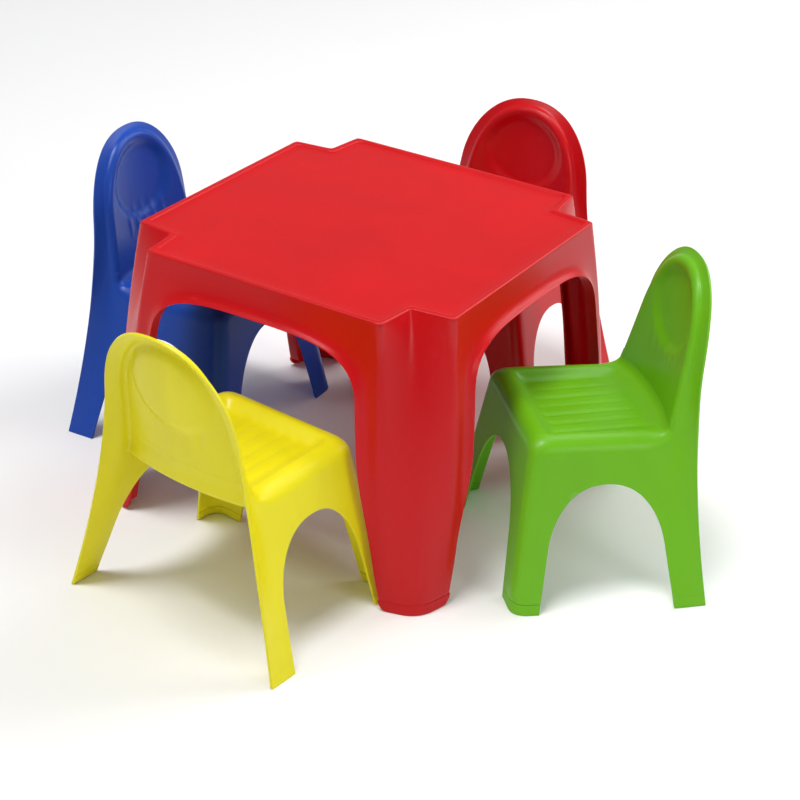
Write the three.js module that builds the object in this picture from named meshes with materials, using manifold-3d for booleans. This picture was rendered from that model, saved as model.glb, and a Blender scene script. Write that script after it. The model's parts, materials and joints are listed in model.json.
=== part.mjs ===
// A child's table and four matching chairs: five one-piece plastic mouldings, each standing on
// four push-in foot pads. Millimetres, +Z up, origin on the floor under the middle of the group.
import * as THREE from 'three';
import { mergeVertices } from 'three/addons/utils/BufferGeometryUtils.js';
import Module from 'manifold-3d';

const wasm = await Module();
wasm.setup();

// ---------------------------------------------------------------- table, driving dimensions
const TABLE_SIDE = 550; // width across the flat sides of the top
const TABLE_HEIGHT = 440;
const TABLE_WALL = 4;
const TABLE_TOP_WALL = 4;
const TABLE_FOOT_SPREAD = 31; // the sides lean out this much by the floor
const TABLE_SPREAD_POWER = 1.9; // above one, the spread comes early and the legs bow outwards
const NOTCH_WIDTH = 73; // square bite out of each corner of the top
const NOTCH_DEPTH = 68;
const TABLE_FOOT_WIDTH = 76; // corner of the foot, measured along each side
const TABLE_FOOT_RECESS = 16; // how far the foot's nose lies inside the virtual square corner
const NOTCH_FADE_POWER = 0.6; // below one, the notch fades quickly under the top
const TABLE_CORNER_RADIUS = 7;
const RIM_WIDTH = 8;
const RIM_HEIGHT = 3;
const TABLE_ARCH_CROWN = 392;
const TABLE_ARCH_SPRING = 300;
const TABLE_ARCH_POWER = 3.5;
const TABLE_ARCH_TAPER = 1.6; // how early the arch's sides do their drawing in
const TABLE_LEG_AT_FOOT = 73; // leg width left beside the arch, at the floor and at the crown
const TABLE_LEG_AT_CROWN = 106;
const ARCH_LIP_WIDTH = 7;
const ARCH_LIP_REACH = 13; // the lip's overhang
const ARCH_LIP_START = 100; // it grows out of the leg here and is full at the next height
const ARCH_LIP_FULL = 220;
const TABLE_LEVELS = [110, 220, 330]; // its outline is drawn here as well as at floor and top
const TOP_RIB_DEPTH = 16;
const TOP_RIB_THICKNESS = 3;
const TOP_RIB_SPACING = 150;
const TABLE_PAD_HEIGHT = 17;
const TABLE_PAD_DEPTH = 12;
const TABLE_SOLE_ROUND = 14; // rounding of the sole's two ends, beside the arches

// ---------------------------------------------------------------- chair, driving dimensions
const SEAT_HEIGHT = 248; // top of the seat's border at the rear
const SEAT_RISE = 9; // the border climbs this much towards the front
const SEAT_DISH_FLOOR = 243;
const SEAT_DISH_REAR_Y = -84;
const SEAT_DISH_SLOPE = 6; // the dish's sides lean in this much on their way down
const SEAT_DISH_CORNER = 34;
const SEAT_BORDER = 21;
const SEAT_FRONT_HALF = 120;
const SEAT_FRONT_Y = 101;
const SEAT_REAR_Y = -98;
const FRONT_FOOT_HALF = 174;
const FRONT_FOOT_Y = 132;
const REAR_FOOT_HALF = 195;
const REAR_FOOT_PANEL_Y = -107;
const CHAIR_HEIGHT = 473;
const CHAIR_WALL = 4;
const SEAT_EDGE_RADIUS = 21;
const CHAIR_CORNER_RADIUS = 24;
const BACK_TOP_HALF = 110; // half-width that the back's sides aim for at the very top
const BACK_SPLAY_POWER = 1.5;
const BACK_ARCH_SPRING = 350;
const BACK_ARCH_POWER = 2.2;
const PANEL_LOWER_EDGE = 231; // the back panel ends here, just under the seat's rear edge
const BACK_LEAN = 0.2;
const BACK_WRAP = 16; // the middle of the back lies this far behind its sides
const BACK_FLARE = 19; // the back's flange spreads this much on each side
const BACK_FLARE_TOP = 9;
const BACK_EDGE_RADIUS = 10;
const FLANGE_WAIST_Y = -139; // the flange's rear edge: closest point, its height and its sweeps
const FLANGE_WAIST_HEIGHT = 300;
const FLANGE_FOOT_SWEEP = 20;
const FLANGE_TOP_SWEEP = 29;
const SIDE_ARCH_CROWN = 183;
const SIDE_ARCH_SPRING = 90;
const SIDE_ARCH_FOOT_HALF = 100;
const SIDE_ARCH_CROWN_HALF = 74;
const SIDE_ARCH_CENTRE = -8;
const FRONT_ARCH_CROWN = 183;
const FRONT_ARCH_SPRING = 90;
const FRONT_LEG_AT_FOOT = 53;
const FRONT_LEG_AT_CROWN = 50;
const CHAIR_ARCH_POWER = 2.3;
const CHAIR_PAD_HEIGHT = 16;
const CHAIR_PAD_DEPTH = 9;

// ---------------------------------------------------------------- pads, shared
const PAD_TONGUE = 14; // the pad's tongue reaches this far up behind the leg's wall
const PAD_GAP = 0.3;

// ---------------------------------------------------------------- where the chairs stand
// Each turns about the table's middle, is pushed in this far from clear of the table's side, and
// stands this far to its sitter's right of the middle.
const CHAIRS = [
  { name: 'yellow', colour: 0xe8dc1e, turn: -5.4, pushedIn: 105.8, aside: 72.3 },
  { name: 'green', colour: 0x6cb91c, turn: 135.1, pushedIn: 207.7, aside: -254.9 },
  { name: 'blue', colour: 0x1d4fae, turn: -86.7, pushedIn: 150.8, aside: -50.1 },
  { name: 'red', colour: 0xc8000c, turn: 181.2, pushedIn: 107.7, aside: 0.7 },
];
const TABLE_COLOUR = 0xd0070f;

const OPEN_END = 400; // how far an open side of a hollow runs past the moulding
const BELOW_FLOOR = -5;
const REAR_OVERRUN = 12;

// ---------------------------------------------------------------- solids
function toSolid(geometry) {
  const bare = geometry.clone();
  bare.deleteAttribute('normal');
  bare.deleteAttribute('uv');
  const merged = mergeVertices(bare, 1e-4);
  const vertProperties = merged.attributes.position.array;
  const triVerts = merged.index.array;
  return new wasm.Manifold(new wasm.Mesh({ numProp: 3, vertProperties, triVerts }));
}

function toGeometry(solid) {
  const mesh = solid.getMesh();
  const geometry = new THREE.BufferGeometry();
  geometry.setAttribute('position', new THREE.BufferAttribute(mesh.vertProperties, 3));
  geometry.setIndex(new THREE.BufferAttribute(mesh.triVerts, 1));
  geometry.computeVertexNormals();
  return geometry;
}

// A closed solid through level sections; outline(z) gives as many points at every level.
function loft(heights, outline, lift = () => 0) {
  const rings = heights.map((z) => outline(z).map(([x, y]) => [x, y, z + lift(y, z)]));
  const count = rings[0].length;
  const index = [];
  for (let ring = 0; ring + 1 < rings.length; ring += 1) {
    for (let i = 0; i < count; i += 1) {
      const a = ring * count + i;
      const b = ring * count + ((i + 1) % count);
      if (i < count / 2) {
        index.push(a, b, b + count, a, b + count, a + count);
      } else {
        index.push(a, b, a + count, b, b + count, a + count);
      }
    }
  }
  const close = (ring, order) => {
    const flat = rings[ring].map(([x, y]) => new THREE.Vector2(x, y));
    for (const face of THREE.ShapeUtils.triangulateShape(flat, [])) {
      index.push(...order.map((corner) => ring * count + face[corner]));
    }
  };
  close(0, [0, 2, 1]);
  close(rings.length - 1, [0, 1, 2]);
  const geometry = new THREE.BufferGeometry();
  geometry.setAttribute('position', new THREE.Float32BufferAttribute(rings.flat(2), 3));
  geometry.setIndex(index);
  return toSolid(geometry);
}

function block(from, to) {
  const size = to.map((value, axis) => value - from[axis]);
  const middle = to.map((value, axis) => (value + from[axis]) / 2);
  return toSolid(new THREE.BoxGeometry(...size).translate(...middle));
}

function slab(low, high) {
  return block([-OPEN_END, -OPEN_END, low], [OPEN_END, OPEN_END, high]);
}

// An outline of [across, up] points, run along Y or X through the whole piece.
function prism(outline, from, to, alongX = false) {
  const shape = new THREE.Shape(outline.map(([across, up]) => new THREE.Vector2(across, up)));
  const geometry = new THREE.ExtrudeGeometry(shape, { depth: to - from, bevelEnabled: false });
  geometry.translate(0, 0, from);
  geometry.rotateX(Math.PI / 2);
  if (alongX) {
    geometry.rotateZ(Math.PI / 2);
  } else {
    geometry.rotateZ(Math.PI);
  }
  return toSolid(geometry);
}

// ---------------------------------------------------------------- outlines
const mix = (a, b, t) => a + (b - a) * t;

function levels(from, to, steps) {
  return Array.from({ length: steps + 1 }, (_, i) => mix(from, to, i / steps));
}

// Rounds the corner between two directions with a few points on a quadratic curve.
function roundCorner(before, corner, after, radius, steps) {
  const towards = (target) => {
    const way = new THREE.Vector2(target[0] - corner[0], target[1] - corner[1]);
    way.setLength(Math.min(radius, way.length() * 0.45));
    return new THREE.Vector2(corner[0] + way.x, corner[1] + way.y);
  };
  const middle = new THREE.Vector2(...corner);
  const curve = new THREE.QuadraticBezierCurve(towards(before), middle, towards(after));
  return curve.getPoints(steps).map((point) => [point.x, point.y]);
}

// Half-width of an arch: sides drawn in towards the crown and closed by a superellipse.
function archHalf(z, arch) {
  const drawnIn = 1 - (1 - Math.min(1, Math.max(0, z / arch.crown))) ** (arch.taper ?? 1);
  const side = mix(arch.footHalf, arch.crownHalf, drawnIn);
  const rise = Math.min(1, Math.max(0, (z - arch.spring) / (arch.crown - arch.spring)));
  return side * (1 - rise ** arch.power) ** (1 / arch.power);
}

function archOutline(arch, centre, steps) {
  const heights = [arch.spring / 4, arch.spring / 2, arch.spring * 0.75];
  for (let i = 0; i < steps; i += 1) {
    heights.push(mix(arch.spring, arch.crown, Math.sin((i / steps) * (Math.PI / 2))));
  }
  const round = arch.soleRound ?? 0;
  const foot = [0, 0.3, 0.6, 1].map((part) => [round * (1 - Math.sqrt(part * (2 - part))), round * part]);
  const sole = [[round, BELOW_FLOOR], ...(round > 0 ? foot : [])];
  const half = [
    ...sole.map(([out, z]) => [archHalf(z, arch) + out, z]),
    ...heights.map((z) => [archHalf(z, arch), z]),
  ];
  const right = half.map(([across, z]) => [centre + across, z]);
  const left = half.map(([across, z]) => [centre - across, z]).reverse();
  return [...right, [centre, arch.crown], ...left];
}

// The same arch, a little larger all round.
function widerArch(arch, extra) {
  return {
    ...arch,
    crown: arch.crown + extra,
    footHalf: arch.footHalf + extra,
    crownHalf: arch.crownHalf + extra,
  };
}

// ---------------------------------------------------------------- table
function tableHalf(z) {
  const up = Math.min(1, Math.max(0, z / TABLE_HEIGHT));
  return TABLE_SIDE / 2 + TABLE_FOOT_SPREAD * (1 - up ** TABLE_SPREAD_POWER);
}

// From the +X side round to the +Y side: a sharp inward V at the top, a rounded nose at the floor.
function tableCorner(z, bulge) {
  const half = tableHalf(z) + bulge;
  const drop = Math.min(1, Math.max(0, 1 - z / TABLE_HEIGHT));
  const width = mix(NOTCH_WIDTH, TABLE_FOOT_WIDTH, drop);
  const depth = mix(NOTCH_DEPTH, TABLE_FOOT_RECESS, drop ** NOTCH_FADE_POWER);
  const start = [half, half - width];
  const nose = [half - depth, half - depth];
  const end = [half - width, half];
  const radius = mix(TABLE_CORNER_RADIUS, 2 * TABLE_CORNER_RADIUS, drop);
  return [
    ...roundCorner([half, 0], start, nose, radius, 2),
    ...roundCorner(start, nose, end, mix(TABLE_CORNER_RADIUS, TABLE_FOOT_WIDTH, drop), 3),
    ...roundCorner(nose, end, [0, half], radius, 2),
  ];
}

function tableOutline(z, bulge = 0) {
  const corner = tableCorner(z, bulge);
  const points = [];
  for (let quarter = 0; quarter < 4; quarter += 1) {
    for (const [x, y] of corner) {
      const turned = new THREE.Vector2(x, y).rotateAround(new THREE.Vector2(), quarter * (Math.PI / 2));
      points.push([turned.x, turned.y]);
    }
  }
  return points;
}

const tableArch = {
  crown: TABLE_ARCH_CROWN,
  spring: TABLE_ARCH_SPRING,
  power: TABLE_ARCH_POWER,
  taper: TABLE_ARCH_TAPER,
  soleRound: TABLE_SOLE_ROUND,
  footHalf: tableHalf(0) - TABLE_LEG_AT_FOOT,
  crownHalf: tableHalf(TABLE_ARCH_CROWN) - TABLE_LEG_AT_CROWN,
};

function tableArches(extra, steps) {
  const outline = archOutline(widerArch(tableArch, extra), 0, steps);
  const alongY = prism(outline, -OPEN_END, OPEN_END);
  return alongY.add(prism(outline, -OPEN_END, OPEN_END, true));
}

// The rolled lip round each arch: a slice of a slightly larger body, kept only beside the arches.
function tableLip() {
  const reach = (z) => {
    const up = (z - ARCH_LIP_START) / (ARCH_LIP_FULL - ARCH_LIP_START);
    return Math.min(1, Math.max(0, up)) * ARCH_LIP_REACH;
  };
  const body = loft(
    [TABLE_PAD_HEIGHT, ARCH_LIP_START, ARCH_LIP_FULL, TABLE_LEVELS[2], TABLE_ARCH_CROWN + ARCH_LIP_WIDTH + 1],
    (z) => tableOutline(z, reach(z)),
  );
  return body.intersect(tableArches(ARCH_LIP_WIDTH, 10));
}

function tableRibs() {
  const bottom = TABLE_HEIGHT - RIM_HEIGHT - TABLE_TOP_WALL - TOP_RIB_DEPTH;
  const top = TABLE_HEIGHT - RIM_HEIGHT - TABLE_TOP_WALL / 2;
  const half = TABLE_SIDE / 2 - TABLE_WALL / 2;
  const thick = TOP_RIB_THICKNESS / 2;
  let ribs = block([-thick, -half, bottom], [thick, half, top]);
  for (const place of [-TOP_RIB_SPACING, 0, TOP_RIB_SPACING]) {
    ribs = ribs.add(block([place - thick, -half, bottom], [place + thick, half, top]));
    ribs = ribs.add(block([-half, place - thick, bottom], [half, place + thick, top]));
  }
  return ribs;
}

function tableHollow(wall) {
  const top = TABLE_HEIGHT - RIM_HEIGHT - TABLE_TOP_WALL;
  return loft([BELOW_FLOOR, TABLE_HEIGHT / 3, (2 * TABLE_HEIGHT) / 3, top], (z) => tableOutline(z, -wall));
}

function tableParts() {
  const steps = [0, TABLE_PAD_HEIGHT, ...TABLE_LEVELS, TABLE_HEIGHT];
  const body = loft(steps, (z) => tableOutline(z));
  const recessOutline = tableOutline(TABLE_HEIGHT, -RIM_WIDTH);
  const recess = loft([TABLE_HEIGHT - RIM_HEIGHT, TABLE_HEIGHT + 1], () => recessOutline);
  const arches = tableArches(0, 10);
  const shell = body
    .add(tableLip())
    .subtract(tableHollow(TABLE_WALL))
    .add(tableRibs())
    .subtract(recess)
    .subtract(arches)
    .subtract(slab(BELOW_FLOOR, TABLE_PAD_HEIGHT));
  const pads = footPads({
    body,
    hollow: tableHollow,
    arches,
    wall: TABLE_WALL,
    depth: TABLE_PAD_DEPTH,
    height: TABLE_PAD_HEIGHT,
    front: -1,
  });
  return { shell, pads };
}

// ---------------------------------------------------------------- foot pads
// The last stretch of each leg, thickened inwards, with a tongue up behind the leg's wall.
// front is the sign of Y on the piece's front side.
function footPads({ body, hollow, arches, wall, depth, height, front }) {
  const core = hollow(depth);
  const sole = body.subtract(core).intersect(slab(0, height - PAD_GAP));
  const inner = body.intersect(hollow(wall + PAD_GAP)).subtract(core);
  const tongue = inner.intersect(slab(0, height + PAD_TONGUE));
  const all = sole.add(tongue).subtract(arches);
  const quarter = (x, y) => {
    const far = OPEN_END;
    const corner = [Math.min(0, x * far), Math.min(0, y * far), BELOW_FLOOR];
    return all.intersect(block(corner, [Math.max(0, x * far), Math.max(0, y * far), far]));
  };
  return {
    front_left: quarter(-1, front),
    front_right: quarter(1, front),
    rear_left: quarter(-1, -front),
    rear_right: quarter(1, -front),
  };
}

// ---------------------------------------------------------------- chair
const towardsFloor = (z) => Math.max(0, 1 - z / SEAT_HEIGHT);

// Half-width of the back's rear edge, which runs on down as the rear leg.
function flangeHalf(z) {
  const splay = (1 - z / CHAIR_HEIGHT) ** BACK_SPLAY_POWER;
  const rise = Math.min(1, Math.max(0, (z - BACK_ARCH_SPRING) / (CHAIR_HEIGHT - BACK_ARCH_SPRING)));
  const arch = (1 - rise ** BACK_ARCH_POWER) ** (1 / BACK_ARCH_POWER);
  return mix(BACK_TOP_HALF, REAR_FOOT_HALF, splay) * arch;
}

function flangeY(z) {
  const away = z - FLANGE_WAIST_HEIGHT;
  if (away < 0) {
    return FLANGE_WAIST_Y - FLANGE_FOOT_SWEEP * (away / FLANGE_WAIST_HEIGHT) ** 2;
  }
  return FLANGE_WAIST_Y - FLANGE_TOP_SWEEP * (away / (CHAIR_HEIGHT - FLANGE_WAIST_HEIGHT)) ** 2;
}

// The side corner of the back panel, which is also the front edge of the rear leg's side face.
const panelTop = CHAIR_HEIGHT - BACK_FLARE_TOP;

function panelHalf(z) {
  const flare = BACK_FLARE * Math.min(1, z / SEAT_HEIGHT);
  const rise = Math.min(1, Math.max(0, (z - BACK_ARCH_SPRING) / (panelTop - BACK_ARCH_SPRING)));
  const arch = (1 - rise ** BACK_ARCH_POWER) ** (1 / BACK_ARCH_POWER);
  const splay = (1 - Math.min(z, panelTop) / CHAIR_HEIGHT) ** BACK_SPLAY_POWER;
  return (mix(BACK_TOP_HALF, REAR_FOOT_HALF, splay) - flare) * arch;
}

function panelY(z) {
  if (z < SEAT_HEIGHT) {
    return mix(SEAT_REAR_Y, REAR_FOOT_PANEL_Y, towardsFloor(z));
  }
  const lean = SEAT_REAR_Y - BACK_LEAN * (Math.min(z, panelTop) - SEAT_HEIGHT);
  return z < panelTop ? lean : mix(lean, flangeY(z), (z - panelTop) / BACK_FLARE_TOP);
}

// Level section of the back: curved panel in front, flanges spreading to the rear.
function backOutline(z) {
  const narrow = 4;
  const half = Math.max(narrow, panelHalf(z));
  const front = panelY(z);
  const rear = Math.min(flangeY(z), front - 2);
  const rearHalf = Math.max(half + 1, flangeHalf(z));
  const wrap = BACK_WRAP * Math.min(1, half / SEAT_FRONT_HALF);
  const aboveSeat = Math.min(1, Math.max(0, (z - SEAT_HEIGHT) / SEAT_EDGE_RADIUS + 1));
  const edge = Math.min(BACK_EDGE_RADIUS, half / 2) * aboveSeat;
  const corner = [half - edge, front - wrap * (1 - (1 - edge / half) ** 2)];
  const flank = [mix(half, rearHalf, 0.3), mix(front, rear, 0.3)];
  const panel = [0.6, 0.2, -0.2, -0.6].map((part) => [half * part, front - wrap * (1 - part * part)]);
  return [
    [rearHalf, rear],
    flank,
    corner,
    ...panel,
    [-corner[0], corner[1]],
    [-flank[0], flank[1]],
    [-rearHalf, rear],
  ];
}

function backLevels(low, high) {
  const straight = levels(low, BACK_ARCH_SPRING, 5);
  const arch = [0.35, 0.6, 0.78, 0.9, 0.97];
  return [...straight, ...arch.map((part) => mix(BACK_ARCH_SPRING, high, part)), high];
}

// Inner face of the flange and rear leg, run on a little past its rear edge.
function flangeInside(z, wall, pinch) {
  const half = Math.max(3, panelHalf(z) - wall - pinch);
  const slope = (flangeHalf(z) - panelHalf(z)) / (panelY(z) - flangeY(z));
  const reach = panelY(z) - flangeY(z) + REAR_OVERRUN;
  return { half, far: [half + slope * reach, panelY(z) - reach] };
}

// The space behind the panel, between the flanges, open to the rear.
function backHollow(wall, low, high) {
  return loft([low, ...backLevels(low + 1, high)], (z) => {
    const { half, far } = flangeInside(z, wall, z === low ? 1 : 0);
    const front = panelY(z) - wall;
    const wrap = BACK_WRAP * Math.min(1, half / SEAT_FRONT_HALF);
    const panel = [0.95, 0.6, 0.2, -0.2, -0.6, -0.95];
    return [
      far,
      ...panel.map((part) => [half * part, front - wrap * (1 - part * part)]),
      [-far[0], far[1]],
    ];
  });
}

// The seat's rounded edge draws the skirt in over its last stretch; wall is the distance inside.
function skirtInset(z, wall) {
  const radius = SEAT_EDGE_RADIUS - Math.min(wall, CHAIR_WALL);
  const rise = (z - SEAT_HEIGHT + SEAT_EDGE_RADIUS) / radius;
  return wall + radius * (1 - Math.sqrt(1 - Math.min(1, Math.max(0, rise)) ** 2));
}

function skirtLevels(low, wall) {
  const start = SEAT_HEIGHT - SEAT_EDGE_RADIUS;
  const radius = SEAT_EDGE_RADIUS - Math.min(wall, CHAIR_WALL);
  return [low, SEAT_HEIGHT / 2, ...[0, 0.38, 0.71, 0.92, 1].map((part) => start + radius * part)];
}

// The front and side walls of a level section, from one rear corner round to the other.
function skirtWalls(z, wall) {
  const edge = skirtInset(z, wall);
  const half = mix(SEAT_FRONT_HALF, FRONT_FOOT_HALF, towardsFloor(z)) - edge;
  const front = mix(SEAT_FRONT_Y, FRONT_FOOT_Y, towardsFloor(z)) - edge;
  const rearCorner = [panelHalf(z) - edge, panelY(z)];
  const right = roundCorner(rearCorner, [half, front], [0, front], CHAIR_CORNER_RADIUS, 4);
  const left = right.map(([x, y]) => [-x, y]).reverse();
  return [...right, ...left];
}

// The seat climbs towards the front, and the skirt below it follows in proportion.
function seatLift(y, z) {
  const forward = Math.max(0, (y - SEAT_REAR_Y) / (SEAT_FRONT_Y - SEAT_REAR_Y));
  return SEAT_RISE * forward * Math.max(0, z / SEAT_HEIGHT);
}

// The seat and its skirt, run back into the thickness of the back panel.
function skirtBody() {
  const outline = (z) => {
    const half = panelHalf(z) - skirtInset(z, 0) - 1;
    const rear = panelY(z) - CHAIR_WALL / 2;
    return [[half, rear], ...skirtWalls(z, 0), [-half, rear], [0, rear - BACK_WRAP]];
  };
  return loft(skirtLevels(0, 0), outline, seatLift);
}

// The level-floored dish inside the seat's border.
function seatDish() {
  return loft([SEAT_DISH_FLOOR, SEAT_HEIGHT + SEAT_RISE], (z) => {
    const inset = z > SEAT_DISH_FLOOR ? 0 : SEAT_DISH_SLOPE;
    const half = SEAT_FRONT_HALF - SEAT_BORDER - inset;
    const front = SEAT_FRONT_Y - SEAT_BORDER - inset;
    const rear = SEAT_DISH_REAR_Y + inset / 2;
    const right = [
      ...roundCorner([0, rear], [half, rear], [half, front], SEAT_DISH_CORNER, 4),
      ...roundCorner([half, rear], [half, front], [0, front], SEAT_DISH_CORNER, 4),
    ];
    return [...right, ...right.map(([x, y]) => [-x, y]).reverse()];
  });
}

// Everything under the seat. It is open to the rear between the legs, up to the panel's lower edge.
function legHollow(wall) {
  const edge = PANEL_LOWER_EDGE;
  const lower = skirtLevels(BELOW_FLOOR, wall).filter((z) => z < edge);
  const heights = [...lower, edge, edge + 0.5, SEAT_DISH_FLOOR - wall];
  return loft(heights, (z) => {
    const { half, far } = flangeInside(z, wall, 0);
    const inner = [panelHalf(z) - skirtInset(z, wall), panelY(z)];
    const corner = z > edge ? inner : [half, panelY(z)];
    const rear = z > edge ? [inner[0], panelY(z) - 1] : far;
    return [
      rear,
      corner,
      ...skirtWalls(z, wall),
      [-corner[0], corner[1]],
      [-rear[0], rear[1]],
    ];
  });
}

function chairHollow(wall) {
  return legHollow(wall).add(backHollow(wall, PANEL_LOWER_EDGE - 1, panelTop - CHAIR_WALL));
}

function chairArches() {
  const sideArch = {
    crown: SIDE_ARCH_CROWN,
    spring: SIDE_ARCH_SPRING,
    power: CHAIR_ARCH_POWER,
    footHalf: SIDE_ARCH_FOOT_HALF,
    crownHalf: SIDE_ARCH_CROWN_HALF,
  };
  const frontArch = {
    crown: FRONT_ARCH_CROWN,
    spring: FRONT_ARCH_SPRING,
    power: CHAIR_ARCH_POWER,
    footHalf: FRONT_FOOT_HALF - FRONT_LEG_AT_FOOT,
    crownHalf: SEAT_FRONT_HALF - FRONT_LEG_AT_CROWN,
  };
  const side = prism(archOutline(sideArch, SIDE_ARCH_CENTRE, 8), -OPEN_END, OPEN_END, true);
  const front = prism(archOutline(frontArch, 0, 8), 0, OPEN_END);
  return side.add(front);
}

function chairParts() {
  const body = skirtBody().add(loft(backLevels(0, CHAIR_HEIGHT), backOutline));
  const arches = chairArches();
  const shell = body
    .subtract(chairHollow(CHAIR_WALL))
    .subtract(seatDish())
    .subtract(arches)
    .subtract(slab(BELOW_FLOOR, CHAIR_PAD_HEIGHT));
  const pads = footPads({
    body,
    hollow: chairHollow,
    arches,
    wall: CHAIR_WALL,
    depth: CHAIR_PAD_DEPTH,
    height: CHAIR_PAD_HEIGHT,
    front: 1,
  });
  return { shell, pads };
}

// ---------------------------------------------------------------- assembly
function moulding(name, solid, material) {
  const mesh = new THREE.Mesh(toGeometry(solid), material);
  mesh.name = name;
  return mesh;
}

function piece(name, { shell, pads }, colour) {
  const gloss = new THREE.MeshStandardMaterial({ color: colour, roughness: 0.3, metalness: 0 });
  const satin = new THREE.MeshStandardMaterial({ color: colour, roughness: 0.5, metalness: 0 });
  const group = new THREE.Group();
  group.add(moulding(`${name}_shell`, shell, gloss));
  for (const [place, pad] of Object.entries(pads)) {
    group.add(moulding(`${name}_foot_${place}`, pad, satin));
  }
  return group;
}

const furniture = new THREE.Group();
furniture.add(piece('table', tableParts(), TABLE_COLOUR));

const chair = chairParts();
const up = new THREE.Vector3(0, 0, 1);
for (const { name, colour, turn, pushedIn, aside } of CHAIRS) {
  const group = piece(`${name}_chair`, chair, colour);
  const angle = THREE.MathUtils.degToRad(turn);
  const clear = TABLE_SIDE / 2 + REAR_FOOT_HALF;
  group.position.set(aside, pushedIn - clear, 0).applyAxisAngle(up, angle);
  group.rotation.z = angle;
  furniture.add(group);
}

// The origin goes to the middle of the group's footprint, on the floor.
furniture.updateMatrixWorld(true);
const middle = new THREE.Box3().setFromObject(furniture, true).getCenter(new THREE.Vector3());
furniture.position.set(-middle.x, -middle.y, 0);

export default furniture;
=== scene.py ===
"""A child's moulded table and four matching chairs, dressed for rendering.

The table is one moulding with a raised rim, notched corners and arched sides with rolled lips. Each
chair is one moulding too: a dished, grooved seat, a wrapped back with flanges, and four legs.
Each moulding stands on push-in foot pads. Lengths inside the shape functions are in millimetres.
"""
import json
import math

import bmesh
import bpy
from bpy.props import FloatProperty, FloatVectorProperty, PointerProperty
from mathutils import Matrix, Vector


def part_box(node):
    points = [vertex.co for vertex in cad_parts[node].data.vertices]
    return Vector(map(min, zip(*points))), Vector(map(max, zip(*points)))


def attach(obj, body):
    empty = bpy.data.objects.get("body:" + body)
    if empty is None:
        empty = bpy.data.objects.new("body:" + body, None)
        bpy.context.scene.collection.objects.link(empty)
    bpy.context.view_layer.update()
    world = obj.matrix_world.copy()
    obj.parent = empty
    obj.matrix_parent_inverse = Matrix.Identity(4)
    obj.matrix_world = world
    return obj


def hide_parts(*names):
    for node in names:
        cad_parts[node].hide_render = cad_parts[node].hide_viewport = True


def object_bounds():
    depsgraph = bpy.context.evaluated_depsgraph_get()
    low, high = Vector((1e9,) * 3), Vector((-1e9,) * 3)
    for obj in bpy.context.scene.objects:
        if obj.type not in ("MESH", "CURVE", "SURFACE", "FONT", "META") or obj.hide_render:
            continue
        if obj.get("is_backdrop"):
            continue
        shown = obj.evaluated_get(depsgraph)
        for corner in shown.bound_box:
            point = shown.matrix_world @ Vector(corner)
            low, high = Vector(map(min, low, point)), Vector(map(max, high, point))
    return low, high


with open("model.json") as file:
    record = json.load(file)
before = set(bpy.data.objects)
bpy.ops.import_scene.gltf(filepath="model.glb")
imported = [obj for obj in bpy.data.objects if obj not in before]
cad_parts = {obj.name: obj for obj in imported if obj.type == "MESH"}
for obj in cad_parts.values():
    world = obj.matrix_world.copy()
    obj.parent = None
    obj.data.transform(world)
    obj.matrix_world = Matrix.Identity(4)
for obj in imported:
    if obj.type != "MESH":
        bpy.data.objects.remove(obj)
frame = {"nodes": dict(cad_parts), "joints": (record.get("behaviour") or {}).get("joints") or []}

cad_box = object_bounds()

bl_info = {
    "name": "Moulded Children's Furniture",
    "version": (1, 0, 0),
    "blender": (4, 5, 0),
    "location": "3D View > Sidebar > Furniture",
    "description": "Builds a moulded table, four chairs, their finishes and a plain studio",
    "category": "Object",
}

MM = 0.001
SEAM = 0.02
SKIN_SHARE, SKIN_BEVEL = 0.9, 1.3
TABLE_PAD_WALL, TABLE_PAD_BEVEL = 5.0, 0.9
CHAIR_PAD_WALL, CHAIR_PAD_BEVEL = 4.4, 0.8
QUARTER_TURN = math.pi / 2
SWAP_X_Y = Matrix(((0, 1, 0, 0), (1, 0, 0, 0), (0, 0, 1, 0), (0, 0, 0, 1)))
CHAIRS = ("yellow", "green", "blue", "red")
PLACES = ("front_left", "front_right", "rear_left", "rear_right")


# ------------------------------------------------------------------ sizes and colours
def length(name, description, default):
    return FloatProperty(name=name, description=description, default=default, unit="LENGTH", precision=4)


def tint(name, description, default):
    return FloatVectorProperty(
        name=name, description=description, default=default, size=3, min=0.0, max=1.0, subtype="COLOR"
    )


TABLE_LOW, TABLE_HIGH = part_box("table_shell")


class TableSizes(bpy.types.PropertyGroup):
    side: length("Top side", "Width across the flat sides of the top", 0.550)
    height: length("Height", "Floor to the top of the rim", TABLE_HIGH.z)
    spread: length("Foot spread", "How far the sides lean out by the floor", 0.031)
    notch_width: length("Notch width", "The corner notch, measured along a side", 0.073)
    notch_depth: length("Notch depth", "The corner notch, measured inwards", 0.068)
    foot_width: length("Foot width", "The leg's corner at the floor, along a side", 0.076)
    arch_crown: length("Arch crown", "Height of the arches", 0.392)
    arch_spring: length("Arch spring", "Height where the arches start to close", 0.300)
    lip: length("Lip reach", "How far the rolled lip stands out round the arch", 0.013)
    rim_height: length("Rim height", "How far the rim stands above the top", 0.003)
    wall: length("Wall", "Thickness of the moulding", 0.004)
    pad_height: length("Pad height", "Height of a foot pad", 0.017)


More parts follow.
